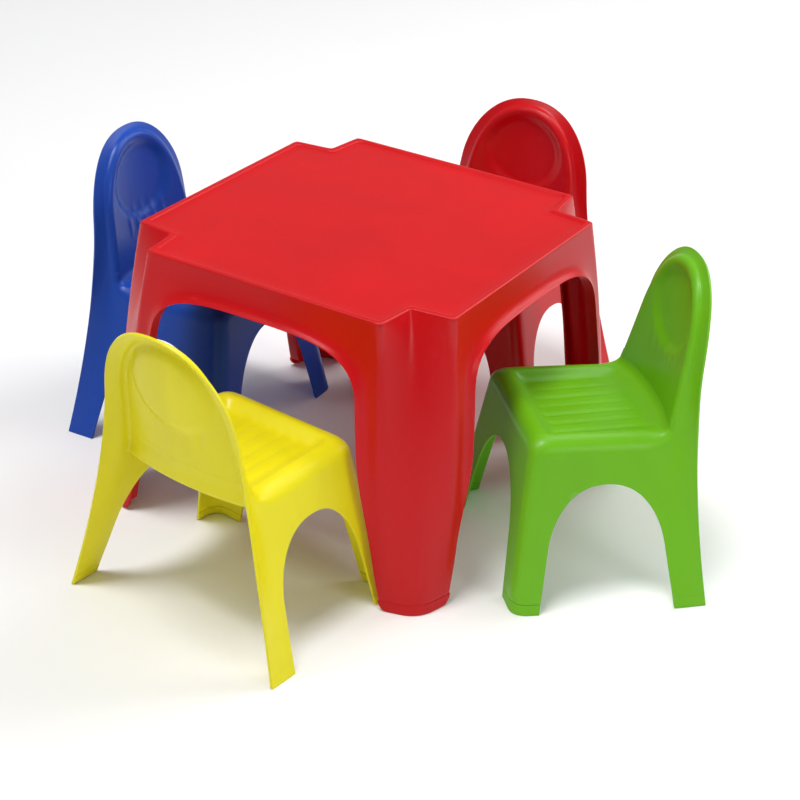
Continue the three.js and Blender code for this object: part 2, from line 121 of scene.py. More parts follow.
class ChairSizes(bpy.types.PropertyGroup):
    seat: length("Seat height", "Top of the seat's border at its rear", 0.248)
    seat_rise: length("Seat rise", "How much higher the border is at the front", 0.009)
    dish_floor: length("Dish floor", "Height of the seat's level middle", 0.243)
    seat_edge: length("Seat edge radius", "Rounding of the seat's edge", 0.021)
    groove: length("Groove depth", "Depth of the grooves along the seat", 0.0019)
    height: length("Height", "Floor to the top of the back", 0.473)
    wrap: length("Back wrap", "How far the back's middle lies behind its sides", 0.016)
    dish: length("Back dish", "Depth of the oval pressed into the back", 0.006)
    arch_crown: length("Arch crown", "Height of the arches", 0.183)
    wall: length("Wall", "Thickness of the moulding", 0.004)
    pad_height: length("Pad height", "Height of a foot pad", 0.016)


class Colours(bpy.types.PropertyGroup):
    table: tint("Table", "Colour of the table", (0.57, 0.0, 0.003))
    yellow: tint("Yellow chair", "Colour of the yellow chair", (0.84, 0.76, 0.010))
    green: tint("Green chair", "Colour of the green chair", (0.15, 0.46, 0.008))
    blue: tint("Blue chair", "Colour of the blue chair", (0.008, 0.060, 0.40))
    red: tint("Red chair", "Colour of the red chair", (0.54, 0.0, 0.004))
    floor: tint("Floor", "Colour of the floor", (0.93, 0.93, 0.93))


def take_sizes(shape, sizes):
    """Copies a group's lengths onto a shape, in millimetres."""
    for name in sizes.__annotations__:
        setattr(shape, name, getattr(sizes, name) / MM)


# ------------------------------------------------------------------ plane curves
def mix(a, b, t):
    return a + (b - a) * t


def clamp(value):
    return min(1.0, max(0.0, value))


def ease(value):
    t = clamp(value)
    return t * t * (3 - 2 * t)


def within(value, limit, blend):
    """0 at a limit, easing up to 1 a little inside it."""
    return ease((limit - value) / blend)


def zone(values, limits):
    """Within several limits at once, each given as (limit, blend)."""
    return math.prod(within(value, *limit) for value, limit in zip(values, limits))


def ridge(x, pitch, half_width, blend):
    """1 on the middle of each of a row of ridges, 0 between them."""
    phase = abs((x / pitch + 0.5) % 1.0 - 0.5) * pitch
    return within(phase, half_width, blend)


def blend_points(a, b, t):
    return tuple(mix(u, v, t) for u, v in zip(a, b))


def at_length(path, distances, wanted):
    """The point that lies a given distance along a path."""
    for k in range(1, len(path)):
        if distances[k] >= wanted:
            gap = distances[k] - distances[k - 1]
            return blend_points(path[k - 1], path[k], (wanted - distances[k - 1]) / gap if gap else 0.0)
    return path[-1]


def run_lengths(path):
    distances = [0.0]
    for a, b in zip(path, path[1:]):
        distances.append(distances[-1] + math.dist(a, b))
    return distances


def spread(path, count):
    """count + 1 points, evenly spaced along a path."""
    distances = run_lengths(path)
    return [at_length(path, distances, distances[-1] * k / count) for k in range(count + 1)]


def bezier(a, corner, b, t):
    return tuple((1 - t) ** 2 * p + 2 * t * (1 - t) * q + t * t * r for p, q, r in zip(a, corner, b))


def towards(corner, target, radius):
    span = math.dist(corner, target)
    return blend_points(corner, target, min(radius, span * 0.45) / span)


def rounded(a, corner, b, steps, part=1.0):
    """Points along a rounded corner, as far as a part of its curve."""
    return [bezier(a, corner, b, part * k / steps) for k in range(steps + 1)]


def climb(low, spring, top, straight, curved):
    """Heights up a straight side, then ever closer together towards the top of its arch."""
    heights = [mix(low, spring, k / straight) for k in range(straight)]
    return heights + [mix(spring, top, math.sin(k / curved * QUARTER_TURN)) for k in range(curved)]


def coons(bottom, top, left, right, i, j, v=None):
    """Fills an outline, given as four lists of points, at column i of its width and row j."""
    u = i / (len(bottom) - 1)
    v = j / (len(left) - 1) if v is None else v
    ends = bottom[0], bottom[-1], top[0], top[-1]
    return tuple(
        (1 - v) * b + v * t + (1 - u) * le + u * r
        - ((1 - u) * (1 - v) * a00 + u * (1 - v) * a10 + (1 - u) * v * a01 + u * v * a11)
        for b, t, le, r, a00, a10, a01, a11 in zip(bottom[i], top[i], left[j], right[j], *ends)
    )


class Arch:
    """An opening whose sides draw in towards the crown, closed by a superellipse."""

    def __init__(self, crown, spring, power, foot_half, crown_half, taper=1.0):
        self.crown, self.spring, self.power = crown, spring, power
        self.foot_half, self.crown_half, self.taper = foot_half, crown_half, taper

    def half(self, z):
        drawn = 1 - (1 - clamp(z / self.crown)) ** self.taper
        side = mix(self.foot_half, self.crown_half, drawn)
        rise = clamp((z - self.spring) / (self.crown - self.spring))
        return side * (1 - rise ** self.power) ** (1 / self.power)

    def path(self, low):
        """(half-width, height) from the foot up to the middle of the crown."""
        heights = climb(low, self.spring, self.crown, straight=30, curved=80)
        return [(self.half(z), z) for z in heights] + [(0.0, self.crown)]


def split_at_shoulder(path):
    """Cuts a path that rises and then runs inwards where it passes 45 degrees."""
    for k in range(1, len(path) - 1):
        if path[k + 1][1] - path[k][1] < path[k][0] - path[k + 1][0]:
            return path[: k + 1], path[k:]
    return path[:-1], path[-2:]


# ------------------------------------------------------------------ mesh work
def sheet(bm, columns, rows, place):
    """A grid of columns by rows cells, whose corner (i, j) goes to place(i, j)."""
    made = bmesh.ops.create_grid(bm, x_segments=columns, y_segments=rows, size=1.0)["verts"]
    for vert in made:
        i = round((vert.co.x + 1) / 2 * columns)
        j = round((vert.co.y + 1) / 2 * rows)
        vert.co = Vector(place(i, j))
    return made


def weld(bm, distance=0.02):
    bmesh.ops.remove_doubles(bm, verts=bm.verts, dist=distance)
    bmesh.ops.dissolve_degenerate(bm, edges=bm.edges, dist=0.001)


def face_outwards(bm, is_outside):
    """One winding all over. is_outside(face) tells if a face is right, or None where it can't."""
    bmesh.ops.recalc_face_normals(bm, faces=bm.faces)
    votes = [is_outside(face) for face in bm.faces]
    if votes.count(True) < votes.count(False):
        bmesh.ops.reverse_faces(bm, faces=bm.faces)


def turn_towards(bm, verts, direction):
    """Winds a sheet's faces so that they look one way."""
    faces = list({face for vert in verts for face in vert.link_faces})
    bmesh.ops.recalc_face_normals(bm, faces=faces)
    if sum(face.normal.dot(direction) for face in faces) < 0:
        bmesh.ops.reverse_faces(bm, faces=faces)


def add_copy(bm, matrix):
    """Adds a copy of all there is so far, moved by a matrix."""
    made = bmesh.ops.duplicate(bm, geom=bm.verts[:] + bm.edges[:] + bm.faces[:])["geom"]
    verts = [item for item in made if isinstance(item, bmesh.types.BMVert)]
    bmesh.ops.transform(bm, matrix=matrix, verts=verts)


def finish_piece(bm, name, placing, body, node, material, wall, bevel):
    """Places a skin in the frame, thickens it inwards and rounds its edges."""
    bmesh.ops.transform(bm, matrix=placing @ Matrix.Scale(MM, 4), verts=bm.verts)
    for face in bm.faces:
        face.smooth = True
    mesh = bpy.data.meshes.new(name)
    bm.to_mesh(mesh)
    bm.free()
    mesh.materials.append(material)
    piece = bpy.data.objects.new(name, mesh)
    bpy.context.scene.collection.objects.link(piece)
    shell = piece.modifiers.new("wall", "SOLIDIFY")
    shell.thickness = wall * MM
    shell.offset = -1.0
    shell.use_quality_normals = True
    edge = piece.modifiers.new("edge", "BEVEL")
    edge.width = bevel * MM
    edge.segments = 3
    edge.limit_method = "ANGLE"
    edge.angle_limit = math.radians(50)
    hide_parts(node)
    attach(piece, body)


def pad_levels(height):
    """Heights of a foot pad's rows, close together near the floor, where its edge is rounded."""
    return [0.0, 0.5, 1.6, 4.0, 8.0, 12.0, height - 1.0, height - SEAM]


def pad_proud(z, proud, tuck, rounding=1.6):
    """How far a foot pad stands out of its leg. By the floor it is tucked in."""
    return proud - tuck * (1 - clamp(z / rounding)) ** 2


# ------------------------------------------------------------------ table
class TableShape:
    """The table's level outlines, from the middle of one side (+Y) round to the diagonal."""

    leg_at_floor, leg_at_crown = 73.0, 106.0
    arch_power, arch_taper = 3.5, 1.6
    lean_power = 1.9
    foot_depth, depth_power = 16.0, 0.6
    bend_at_top, bend_at_floor = 5.0, 16.0
    turn_at_top, turn_at_floor = 5.0, 70.0
    corner_steps = 12
    lip_starts, lip_grows, lip_ends = 85.0, 150.0, 262.0
    lip_face, flare_reach, roll_reach = 2.0, 44.0, 15.0
    flare_share = 0.4
    edge_drop = 3.0
    leg_count, crown_count, flat_rows = 62, 46, 30
    row_crowding = 1.25
    lip_section = [(0.0, 19.0), (0.0, 12.0), (0.0, 6.0), (0.0, 3.4), (0.9, 1.1), (2.6, 0.0)]
    rib_places, rib_depth, rib_gap = (-150.0, 0.0, 150.0), 24.0, 2.0
    pad_columns, pad_rounding = 26, 14.0

    def __init__(self, sizes):
        take_sizes(self, sizes)
        self.edge_z = self.height - self.edge_drop
        crown, spring = self.arch_crown, self.arch_spring
        foot_half, crown_half = self.half(0) - self.leg_at_floor, self.half(crown) - self.leg_at_crown
        self.arch = Arch(crown, spring, self.arch_power, foot_half, crown_half, self.arch_taper)
        self.arch_edge = spread(self.arch.path(0), 150)
        self.outlines = {}

    def half(self, z):
        return self.side / 2 + self.spread * (1 - clamp(z / self.height) ** self.lean_power)

    def outline(self, z, inset=0.0):
        """Points from a side's middle to the diagonal, and their distances from the middle."""
        key = (round(z, 4), inset)
        if key not in self.outlines:
            half = self.half(z) - inset
            drop = 1 - clamp(z / self.height)
            width = mix(self.notch_width, self.foot_width, drop)
            depth = mix(self.notch_depth, self.foot_depth, drop ** self.depth_power)
            start = (half - width, half)
            nose = (half - depth, half - depth)
            bend = mix(self.bend_at_top, self.bend_at_floor, drop)
            near, far = towards(start, (0, half), bend), towards(start, nose, bend)
            turn = towards(nose, start, mix(self.turn_at_top, self.turn_at_floor, drop))
            path = [(0.0, half)] + rounded(near, start, far, self.corner_steps)
            path += rounded(turn, nose, turn[::-1], self.corner_steps, part=0.5)
            self.outlines[key] = (path, run_lengths(path))
        return self.outlines[key]

    def span(self, z):
        return self.outline(z)[1][-1]

    def lip_at(self, along, z):
        """How far the rolled lip stands out at a point of the side."""
        reach = self.lip * ease((z - self.lip_starts) / self.lip_grows)
        if reach == 0.0 or along > self.lip_ends:
            return 0.0
        away = min(math.dist((along, z), point) for point in self.arch_edge) - self.lip_face
        flare = 1 - clamp(away / self.flare_reach)
        turned = clamp(1 - away / self.roll_reach)
        return reach * mix(1 - math.sqrt(1 - turned ** 2), flare ** 2, self.flare_share)

    def point(self, along, z, push=0.0):
        path, distances = self.outline(z)
        x, y = at_length(path, distances, along)
        return x, y + push, z


def eighth_of_side(bm, shape):
    """One side from its middle to the leg's corner, from the arch's lip up to the rim."""
    low, top = shape.pad_height + SEAM, shape.edge_z
    leg_count, crown_count, last = shape.leg_count, shape.crown_count, len(shape.lip_section) - 1
    leg, crown = split_at_shoulder(shape.arch.path(low))
    inner = spread(leg, leg_count) + spread(crown, crown_count)[1:]
    outer = [(1.0, mix(low, top, k / leg_count)) for k in range(leg_count + 1)]
    outer += [(1 - k / crown_count, top) for k in range(1, crown_count + 1)]

    def place(i, j):
        across, low_z = inner[i]
        share, high_z = outer[i]
        reach = math.dist((across, low_z), (share * shape.span(high_z), high_z))
        out, depth = shape.lip_section[min(j, last)]
        t = out / reach
        if j > last:
            t = mix(t, 1.0, ((j - last) / shape.flat_rows) ** shape.row_crowding)
        z = mix(low_z, high_z, t)
        along = mix(across / shape.span(low_z), share, t) * shape.span(z)
        return shape.point(along, z, shape.lip_at(along, z) - depth)

    sheet(bm, leg_count + crown_count, last + shape.flat_rows, place)


def eighth_of_top(bm, shape):
    """The rim's bead, as (inset, depth below the rim), and the top's flat field to the middle."""
    bead = [(0.0, shape.edge_drop), (0.35, 1.4), (1.4, 0.35), (3.0, 0.0), (6.5, 0.0)]
    bead += [(8.0, 0.4), (9.3, 1.5), (10.7, 2.6), (12.5, shape.rim_height)]
    inwards = [0.0] * len(bead) + [0.06, 0.14, 0.25, 0.4, 0.6, 0.8, 1.0]

    def place(i, j):
        inset, below = bead[min(j, len(bead) - 1)]
        path, distances = shape.outline(shape.edge_z, inset)
        x, y = at_length(path, distances, (1 - i / shape.crown_count) * distances[-1])
        return x * (1 - inwards[j]), y * (1 - inwards[j]), shape.height - below

    sheet(bm, shape.crown_count, len(inwards) - 1, place)


def under_rib(bm, shape, where, facing):
    """A stiffening rib across the underside of the top, from side to side."""
    columns, rows = 24, 3
    reach = shape.side / 2 - shape.rib_gap
    low, high = shape.height - shape.rib_depth, shape.height - shape.rim_height - shape.rib_gap

    def place(i, j):
        return where(mix(-reach, reach, i / columns), mix(low, high, j / rows))

    turn_towards(bm, sheet(bm, columns, rows, place), facing)


def table_placing():
    middle = (TABLE_LOW + TABLE_HIGH) / 2
    return Matrix.Translation((middle.x, middle.y, 0.0))


def build_table(shape):
    bm = bmesh.new()
    eighth_of_side(bm, shape)
    eighth_of_top(bm, shape)
    for matrix in (SWAP_X_Y, Matrix.Scale(-1, 4, (1, 0, 0)), Matrix.Scale(-1, 4, (0, 1, 0))):
        add_copy(bm, matrix)
    weld(bm)
    high = shape.height - shape.rim_height - 0.01
    face_outwards(bm, lambda face: face.normal.z > 0 if face.calc_center_median().z > high else None)
    for place in shape.rib_places:
        under_rib(bm, shape, lambda along, z: (place, along, z), Vector((1, 0, 0)))
        under_rib(bm, shape, lambda along, z: (along, place, z), Vector((0, 1, 0)))
    return bm


def build_table_pad(shape, side, end):
    """One foot pad: the leg's outline carried down to the floor, its two ends rounded up."""
    bm = bmesh.new()
    levels, columns = pad_levels(shape.pad_height), shape.pad_columns

    def place(i, j):
        z = levels[j]
        rise = clamp(z / shape.pad_rounding)
        start = shape.arch.half(z) + shape.pad_rounding * (1 - math.sqrt(rise * (2 - rise)))
        along = mix(start, shape.span(z), i / columns)
        x, y, z = shape.point(along, z)
        proud = pad_proud(z, 0.5, 1.6)
        return x + proud * along / shape.span(z) / 2, y + proud, z

    sheet(bm, columns, len(levels) - 1, place)
    add_copy(bm, SWAP_X_Y)
    bmesh.ops.transform(bm, matrix=Matrix.Diagonal((side, end, 1, 1)), verts=bm.verts)
    weld(bm, 0.8)
    face_outwards(bm, lambda face: face.normal.x * side + face.normal.y * end > 0)
    return bm


# ------------------------------------------------------------------ chair
class ChairShape:
    """The chair's right half, facing +Y, as level outlines and the back's front surface."""

    front_half, front_y, rear_y = 120.0, 101.0, -98.0
    front_foot_half, front_foot_y = 174.0, 132.0
    rear_foot_half, rear_foot_y = 195.0, -107.0
    corner, fillet = 24.0, 16.0
    back_half, back_spring, back_power, back_lean = 110.0, 350.0, 2.2, 0.2
    back_edge, edge_starts, edge_grows = 10.0, 190.0, 60.0
    rim_rear, rim_bend_z, rim_foot_bend, rim_top_bend, rim_wall = -139.0, 300.0, 20.0, 29.0, 3.6
    panel_drop, panel_inset = 9.0, 19.0
    full_wrap_half, least_half = 120.0, 8.0
    splay_power, flank_power = 1.5, 1.6
    arch_middle, arch_spring, arch_power = -8.0, 90.0, 2.3
    side_foot_half, side_crown_half, front_leg_foot, front_leg_top = 100.0, 74.0, 53.0, 50.0
    run_unit, arc_width = 100.0, 0.18
    oval_half, oval_z, oval_height, oval_blend = 76.0, 386.0, 66.0, 0.26
    rib_height = 1.1
    # (limit, blend) sideways, forwards and rearwards on the seat, and sideways, up and down the back
    dish_zone = ((99.0, 20.0), (80.0, 24.0), (-12.0, 18.0))
    groove_zone = ((88.0, 6.0), (62.0, 10.0), (-34.0, 10.0))
    rib_zone = ((58.0, 10.0), (356.0, 22.0), (-302.0, 14.0))

    def __init__(self, sizes):
        take_sizes(self, sizes)
        self.panel_top = self.height - self.panel_drop
        self.join_z = self.seat + self.fillet
        crown, spring, power = self.arch_crown, self.arch_spring, self.arch_power
        self.side_arch = Arch(crown, spring, power, self.side_foot_half, self.side_crown_half)
        foot_half = self.front_foot_half - self.front_leg_foot
        self.front_arch = Arch(crown, spring, power, foot_half, self.front_half - self.front_leg_top)

    def drop(self, z):
        return max(0.0, 1 - z / self.seat)

    def lift(self, y, z):
        forward = max(0.0, (y - self.rear_y) / (self.front_y - self.rear_y))
        return self.seat_rise * forward * clamp(z / self.seat)

    # the back's two side lines
    def closing(self, z, top):
        rise = clamp((z - self.back_spring) / (top - self.back_spring))
        return (1 - rise ** self.back_power) ** (1 / self.back_power)

    def splayed(self, z):
        """Half-width over the rear legs and the back, before its top closes."""
        return mix(self.back_half, self.rear_foot_half, (1 - clamp(z / self.height)) ** self.splay_power)

    def flange_half(self, z):
        return self.splayed(z) * self.closing(z, self.height)

    def flange_y(self, z):
        away = z - self.rim_bend_z
        if away < 0:
            return self.rim_rear - self.rim_foot_bend * (away / self.rim_bend_z) ** 2
        return self.rim_rear - self.rim_top_bend * (away / (self.height - self.rim_bend_z)) ** 2

    def rim_y(self, z):
        """The outer skin stops short of the rim's rear edge, which its wall's thickness reaches."""
        return self.flange_y(z) + self.rim_wall

    def panel_half(self, z):
        flare = self.panel_inset * clamp(z / self.seat)
        return (self.splayed(min(z, self.panel_top)) - flare) * self.closing(z, self.panel_top)

    def panel_y(self, z):
        if z < self.seat:
            return mix(self.rear_y, self.rear_foot_y, self.drop(z))
        return self.rear_y - self.back_lean * (z - self.seat)

    def back_y(self, x, z):
        """Front surface of the back, wrapped round the sitter."""
        half = max(self.least_half, self.panel_half(z))
        bow = self.wrap * min(1.0, half / self.full_wrap_half)
        return self.panel_y(z) - bow * (1 - clamp(abs(x) / half) ** 2)

    # level outline of the seat and skirt
    def edge_inset(self, z):
        """The back's rounded edge, which dies out down the rear leg."""
        return self.back_edge * ease((z - self.edge_starts) / self.edge_grows)

    def shoulder_y(self, z):
        """Where the skirt's side meets the back, level with the back's own rounded edge."""
        half = self.panel_half(z)
        return self.panel_y(z) - self.wrap * (1 - (1 - self.edge_inset(z) / half) ** 2)

    def corners(self, z, inset):
        half = mix(self.front_half, self.front_foot_half, self.drop(z)) - inset
        front = mix(self.front_y, self.front_foot_y, self.drop(z)) - inset
        rear = (self.panel_half(z) - inset, self.shoulder_y(z))
        nose = (half, front)
        return towards(nose, (0, front), self.corner), nose, towards(nose, rear, self.corner), rear

    def line(self, z, inset, key, way):
        """Along the front (way -1) or the side (way 1): key 0 is the middle of the rounded corner,
        1 the end of its arc, 2 the middle of the front or the rear corner."""
        arc, nose, side_arc, rear = self.corners(z, inset)
        if key <= 1:
            return bezier(arc, nose, side_arc, (1 + way * key) / 2)
        start, end = (side_arc, rear) if way > 0 else (arc, (0.0, arc[1]))
        return blend_points(start, end, key - 1)

    def flank_x(self, y, z):
        """The side wall behind the front corner, and on along the rear leg and the flange."""
        _, _, side_arc, rear = self.corners(z, 0.0)
        start = rear[1] - self.edge_inset(z)
        if y > rear[1]:
            return mix(rear[0], side_arc[0], (y - rear[1]) / (side_arc[1] - rear[1]))
        back = clamp((start - y) / (start - self.rim_y(z)))
        return mix(rear[0], self.flange_half(z), back ** self.flank_power)

    def side_point(self, run, z):
        """The run is in hundreds of millimetres back from the middle of the corner."""
        if run < self.arc_width:
            x, y = self.line(z, 0.0, run / self.arc_width, 1)
        else:
            y = self.corners(z, 0.0)[2][1] - self.run_unit * (run - self.arc_width)
            x = self.flank_x(y, z)
        return x, y, z + self.lift(y, z)

    def side_run(self, y, z):
        return self.arc_width + (self.corners(z, 0.0)[2][1] - y) / self.run_unit

    def rim_run(self, z):
        return self.side_run(self.rim_y(z), z)

    def front_point(self, run, z):
        if run < self.arc_width:
            x, y = self.line(z, 0.0, run / self.arc_width, -1)
        else:
            x, y = self.corners(z, 0.0)[0]
            x -= self.run_unit * (run - self.arc_width)
        return x, y, z + self.lift(y, z)

    def front_run(self, x, z):
        return self.arc_width + (self.corners(z, 0.0)[0][0] - x) / self.run_unit

    def seat_z(self, x, y):
        """The seat's upper surface: a border, a dished middle with grooves, a fillet at the back."""
        behind = self.back_y(x, self.join_z) - y
        border = self.seat + self.lift(y, self.seat)
        middle = zone((abs(x), y, behind), self.dish_zone)
        grooved = zone((abs(x), y, behind), self.groove_zone)
        groove = self.groove * grooved * ridge(x, pitch=25.0, half_width=5.0, blend=3.6)
        near = clamp(1 + behind / self.fillet)
        return mix(border, self.dish_floor, middle) - groove + self.fillet * (1 - math.sqrt(1 - near ** 2))

    def panel_point(self, x, z):
        """Front surface of the back, with the oval dish pressed to the rear and its short ribs."""
        oval = math.hypot(x / self.oval_half, (z - self.oval_z) / self.oval_height)
        ribbed = self.rib_height * zone((abs(x), z, -z), self.rib_zone)
        ribs = ribbed * ridge(x, pitch=22.0, half_width=6.0, blend=5.0)
        return x, self.back_y(x, z) - self.dish * within(oval, 1, self.oval_blend) + ribs, z


class ChairSkin:
    """Counts that neighbouring sheets share, and the sheets themselves."""

    leg_count, rear_count, back_count, front_count, seat_count = 40, 46, 36, 26, 34
    fillet_count, round_count, flange_count, flank_rows = 7, 7, 12, 18
    arc_keys = [k / 5 for k in range(6)]
    apron_columns, apron_rows = 80, 8
    gusset_fall, apron_low, apron_lap = 26.0, 231.0, 5.0
    apron_tuck, apron_edge_tuck, apron_inset = 0.1, 0.9, 1.5
    level_back, level_blend = 2.0, 34.0
    square_z, square_blend = 285.0, 70.0
    stitch = 0.05

    def __init__(self, shape):
        self.shape = shape
        self.side_keys = self.keys(self.seat_count)
        self.front_keys = self.keys(self.front_count - len(self.arc_keys) + 1)
        self.seat_sides = [self.seat_boundary(key) for key in self.side_keys]
        self.seat_fronts = [self.front_boundary(key) for key in self.front_keys]
        self.panel_sides = self.back_line(shape.panel_half, shape.panel_top)
        self.flange_sides = self.back_line(shape.flange_half, shape.height)

    def keys(self, count):
        """Keys round half the corner's arc, then along a straight edge."""
        return self.arc_keys + [1 + k / count for k in range(1, count + 1)]

    def back_line(self, half, top):
        """(x, z) from the seat up one side of the back to the middle of its top."""
        heights = climb(self.shape.join_z, self.shape.back_spring, top, straight=40, curved=120)
        lower, upper = split_at_shoulder([(half(z), z) for z in heights] + [(0.0, top)])
        return spread(lower, self.back_count) + spread(upper, self.front_count)[1:]

    def quarter(self):
        return [step / self.round_count * QUARTER_TURN for step in range(self.round_count + 1)]

    # the rounded edge between the seat's top and its skirt
    def front_boundary(self, key):
        """One column of the front's rounded edge."""
        shape, column = self.shape, []
        for angle in self.quarter():
            z = shape.seat - shape.seat_edge * (1 - math.cos(angle))
            x, y = shape.line(z, shape.seat_edge * (1 - math.sin(angle)), key, -1)
            column.append((x, y, z + shape.lift(y, z)))
        return column

    def seat_boundary(self, key):
        """One column of the side's rounded edge. Towards the back it rises and turns rearwards."""
        shape = self.shape
        if key > 1:
            arc_y = shape.corners(shape.seat, shape.seat_edge)[2][1]
            place = round((key - 1) * self.seat_count)
            flat = self.seat_count - self.fillet_count
            top = shape.join_z
            join = shape.back_y(shape.panel_half(top) - shape.back_edge, top)
            turn = max(0, place - flat) / self.fillet_count * QUARTER_TURN
            y = join + shape.fillet * (1 - math.sin(turn))
            if place < flat:
                y = mix(arc_y, y, place / flat)
        else:
            y = shape.line(shape.seat, shape.seat_edge, key, 1)[1]
            join = y - shape.run_unit
        near = clamp(1 - (y - join) / shape.fillet)
        to_back = ease(1 - (y - join - self.level_back) / self.level_blend)
        edge = mix(shape.seat_edge, shape.back_edge, to_back)
        up = math.sqrt(1 - near ** 2)
        base = shape.seat + shape.fillet * (1 - up)
        column = []
        for angle in self.quarter():
            fall = edge * (1 - math.cos(angle))
            inset = edge * (1 - math.sin(angle))
            z = base - fall * up
            if key <= 1:
                x, here = shape.line(z, inset, key, 1)
            else:
                _, _, arc, rear = shape.corners(z, inset)
                share = clamp((arc[1] - y) / (arc[1] - join))
                x = mix(arc[0], rear[0], share)
                moved = shape.corners(z, 0.0)[2][1] - shape.corners(base, 0.0)[2][1]
                here = y + moved * (1 - share) - fall * near
            column.append((x, here, z + shape.lift(here, z)))
        return column

    # sheets
    def rounded_edge(self, bm):
        sheet(bm, len(self.front_keys) - 1, self.round_count, lambda i, j: self.seat_fronts[i][j])
        sheet(bm, len(self.side_keys) - 1, self.round_count, lambda i, j: self.seat_sides[i][j])

    def seat_top(self, bm):
        """The seat, between its front edge, its side edge and the foot of the back."""
        shape = self.shape
        front = [column[0][:2] for column in reversed(self.seat_fronts)]
        side = [column[0][:2] for column in self.seat_sides]
        end = side[-1]
        across = [mix(0.0, end[0], k / self.front_count) for k in range(self.front_count + 1)]
        rear = [(x, shape.back_y(x, shape.join_z)) for x in across]
        near_y, far_y = front[0][1], rear[0][1]
        scale = (near_y - far_y) / (side[0][1] - end[1])
        middle = [(0.0, near_y + (y - side[0][1]) * scale) for _, y in side]
        rows, columns = len(side) - 1, self.front_count

        def place(i, j):
            if i == columns:
                return self.seat_sides[j][0]
            if j == 0:
                return self.seat_fronts[columns - i][0]
            back = (side[0][1] - side[j][1]) / (side[0][1] - end[1])
            x, y = coons(front, rear, middle, side, i, j, back)
            if j == rows:
                return x, y, shape.join_z
            return x, y, shape.seat_z(x, y)

        sheet(bm, columns, rows, place)

    def back_panel(self, bm):
        edge = [self.back_edge_point(k, 0) for k in range(len(self.panel_sides))]
        side = [(p[0], p[2]) for p in edge[: self.back_count + 1]]
        top = [(p[0], p[2]) for p in reversed(edge[self.back_count :])]
        end = self.seat_sides[-1][0]
        join_z = self.shape.join_z
        bottom = [(end[0] * k / self.front_count, join_z) for k in range(self.front_count + 1)]
        low, high = bottom[0][1], top[0][1]
        middle = [(0.0, mix(low, high, k / self.back_count)) for k in range(self.back_count + 1)]

        def place(i, j):
            if i == self.front_count:
                return edge[j] if j else end
            if j == self.back_count:
                return edge[len(edge) - 1 - i]
            return self.shape.panel_point(*coons(bottom, top, middle, side, i, j))

        sheet(bm, self.front_count, self.back_count, place)

    def outward(self, k):
        """Direction across the back's rounded edge, level low down and square to the arch higher up."""
        line = self.panel_sides
        a, b = line[max(0, k - 1)], line[min(len(line) - 1, k + 1)]
        square = Vector((b[1] - a[1], a[0] - b[0])).normalized()
        if k == len(line) - 1:
            square = Vector((0, 1))
        share = ease((line[k][1] - self.square_z) / self.square_blend)
        return Vector((1, 0)).lerp(square, share).normalized()

    def back_edge_point(self, k, step):
        shape = self.shape
        x, z = self.panel_sides[k]
        out = self.outward(k)
        angle = step / self.round_count * QUARTER_TURN
        inset = shape.back_edge * (1 - math.sin(angle))
        y = shape.back_y(x - out.x * shape.back_edge, z - out.y * shape.back_edge)
        y -= shape.back_edge * (1 - math.cos(angle))
        return max(0.0, x - out.x * inset), y, z - out.y * inset

    def flange_point(self, k, step):
        """Behind the rounded edge the flange runs rearwards and flares out."""
        x0, y0, z0 = self.back_edge_point(k, self.round_count)
        x1, z1 = self.flange_sides[k]
        y1 = self.shape.rim_y(z1)
        t = step / self.flange_count
        flared = t ** self.shape.flank_power
        return mix(x0, x1, flared), mix(y0, y1, t), mix(z0, z1, flared)

    def flange(self, bm):
        def place(i, j):
            if i == 0 and j <= self.round_count:
                return self.seat_sides[-1][j]
            if j <= self.round_count:
                return self.back_edge_point(i, j)
            return self.flange_point(i, j - self.round_count)

        sheet(bm, len(self.panel_sides) - 1, self.round_count + self.flange_count, place)

    def corner_line(self, point):
        """A wall's low and top ends, and its outer line up the middle of the rounded corner."""
        low, top = self.shape.pad_height + SEAM, self.shape.seat - self.shape.seat_edge
        runs = [(0.0, mix(low, top, k / self.leg_count)) for k in range(self.leg_count)]
        return low, top, runs, [point(*run) for run in runs]

    def side_wall(self, bm):
        """The side from its arch out to the front corner, the seat's edge and the rear edge."""
        shape = self.shape
        low, _, runs, outer = self.corner_line(shape.side_point)
        leg, over = split_at_shoulder(shape.side_arch.path(low))
        over += [(-half, z) for half, z in reversed(over[:-1])]
        rear_leg = [(-half, z) for half, z in reversed(leg)]
        seat_steps = len(self.side_keys) - 1 - self.fillet_count + self.flange_count
        arch = spread(leg, self.leg_count) + spread(over, seat_steps)[1:]
        arch += spread(rear_leg, self.rear_count)[1:]
        inner = [(shape.side_run(shape.arch_middle + half, z), z) for half, z in arch]
        for key, column in list(zip(self.side_keys, self.seat_sides))[: -self.fillet_count]:
            outer.append(column[-1])
            runs.append(self.edge_run(key, column))
        across = self.gusset_line(runs[-1])[1:]
        outer += [shape.side_point(*run) for run in across]
        runs += across
        bottom = runs[-1][1]
        for step in range(1, self.rear_count + 1):
            z = mix(bottom, low, step / self.rear_count)
            outer.append((shape.flange_half(z), shape.rim_y(z), z))
            runs.append((shape.rim_run(z), z))
        self.fan(bm, inner, runs, outer, shape.side_point)

    def fan(self, bm, inner, runs, outer, point):
        """A wall from its arch to its outer line, whose points are already known."""
        def place(i, j):
            if j == self.flank_rows:
                return outer[i]
            return point(*blend_points(inner[i], runs[i], j / self.flank_rows))

        sheet(bm, len(outer) - 1, self.flank_rows, place)

    def edge_run(self, key, column):
        """Where a column of the seat's edge meets the side wall."""
        x, y, z = column[-1]
        level = z - self.shape.lift(y, z)
        return (self.shape.arc_width * key if key <= 1 else self.shape.side_run(y, level)), level

